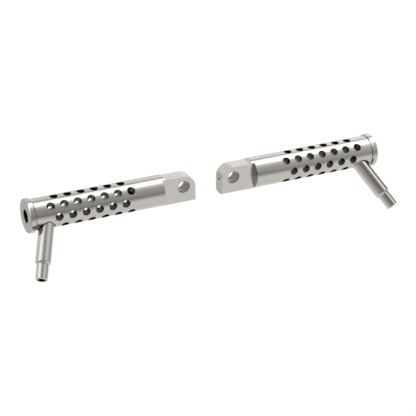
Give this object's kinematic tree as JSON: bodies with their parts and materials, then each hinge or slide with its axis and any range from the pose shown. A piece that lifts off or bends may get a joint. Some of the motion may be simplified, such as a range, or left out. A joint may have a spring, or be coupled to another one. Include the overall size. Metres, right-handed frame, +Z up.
{
  "type": "pair of motorcycle footpegs",
  "caption": "Pair of drilled round-bar motorcycle footpegs with flanged ends, pivot tongues and angled feeler pins underneath.",
  "frame": {"origin": "centre of the left peg's pivot bore, halfway through its tongue", "axes": "+X along the bars from the left peg to the right one, +Y along the pivot bores to the back, +Z up"},
  "size_m": [0.3156, 0.0539, 0.0539],
  "materials": {
    "turned_steel": "satin",
    "polished_steel": "polished"
  },
  "bodies": {
    "root": {"peg_body_left": "turned_steel", "peg_body_right": "turned_steel", "end_cap_left": "turned_steel", "end_cap_right": "turned_steel", "feeler_pin_left": "polished_steel", "feeler_pin_right": "polished_steel"}
  },
  "joints": []
}
